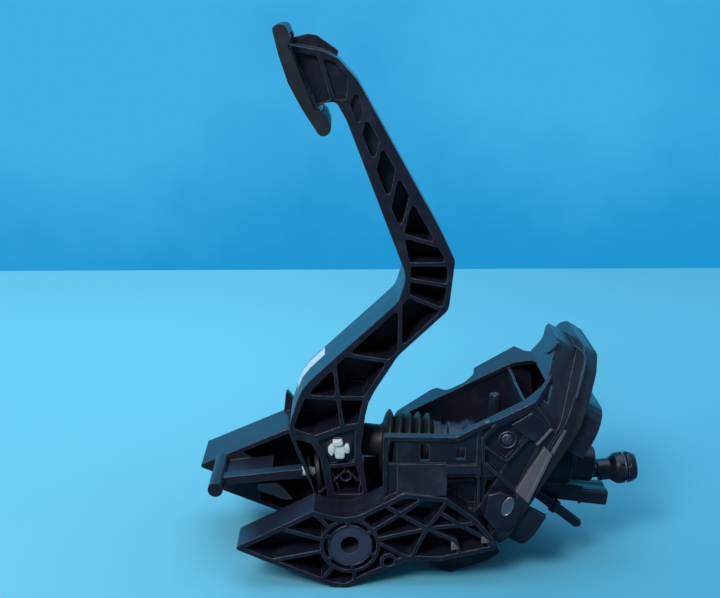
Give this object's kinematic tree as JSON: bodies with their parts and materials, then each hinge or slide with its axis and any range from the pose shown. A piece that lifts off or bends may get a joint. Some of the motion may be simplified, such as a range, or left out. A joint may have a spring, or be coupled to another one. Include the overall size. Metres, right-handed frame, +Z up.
{
  "type": "clutch pedal",
  "caption": "Hanging clutch pedal with a ribbed bracket, bulkhead flange, master cylinder, dust boot, pushrod and rubber pad.",
  "frame": {"origin": "middle of the pivot pin's axis, halfway between the pedal hub's faces", "axes": "+X towards the bulkhead, +Y along the pivot away from the viewer, +Z up as it rests on a bench"},
  "size_m": [0.2873, 0.1142, 0.341],
  "materials": {
    "moulded_black": "fine grained, moulded",
    "soft_black": "satin",
    "rubber": "matt",
    "white_nylon": "satin",
    "natural_plastic": "satin",
    "label": "smooth, worn",
    "zinc_steel": "zinc plated",
    "dark_steel": "dark coated",
    "magnet": "sintered"
  },
  "bodies": {
    "bracket": {"pedal_bracket": "moulded_black", "bulkhead_seal": "rubber", "compression_sleeves": "zinc_steel", "pivot_pin": "dark_steel", "stop_plug": "white_nylon", "pocket_screws": "dark_steel", "cylinder_body": "moulded_black", "piston_spring": "zinc_steel", "piston_stop": "zinc_steel", "dust_boot": "rubber", "inlet_cap": "moulded_black", "supply_nipple": "moulded_black", "position_sensor": "moulded_black", "outlet_stub": "moulded_black", "coupling_collar": "soft_black", "coupling_clip": "dark_steel", "coupling_ring": "rubber"},
    "pedal": {"pedal_arm": "moulded_black", "near_bush": "soft_black", "far_bush": "soft_black", "pad_cover": "rubber", "rest_bumper": "rubber", "clevis_pin": "white_nylon", "arm_label": "label"},
    "rod": {"pushrod": "moulded_black"},
    "piston": {"piston": "natural_plastic", "front_seal": "rubber", "rear_seal": "rubber", "sensor_magnet": "magnet"}
  },
  "joints": [
    {"name": "pedal_swing", "type": "hinge", "parent": "bracket", "child": "pedal", "pos_m": [0, 0, 0], "axis": [0, 1, 0], "range_deg": [0, 25], "stiffness_Nm_per_rad": 3, "springref_deg": -34.38},
    {"name": "rod_swing", "type": "hinge", "parent": "pedal", "child": "rod", "pos_m": [-0.0066, 0, 0.053], "axis": [0, 1, 0], "range_deg": [-25, 0]},
    {"name": "piston_slide", "type": "slide", "parent": "bracket", "child": "piston", "axis": [0.9925, 0, -0.1219], "range_m": [0, 0.0235], "deforming": ["piston_spring", "dust_boot"]}
  ],
  "couplings": [
    {"joint": "rod_swing", "follows": "pedal_swing", "ratio": -1},
    {"joint": "piston_slide", "follows": "pedal_swing", "m_per_rad": 0.053}
  ]
}
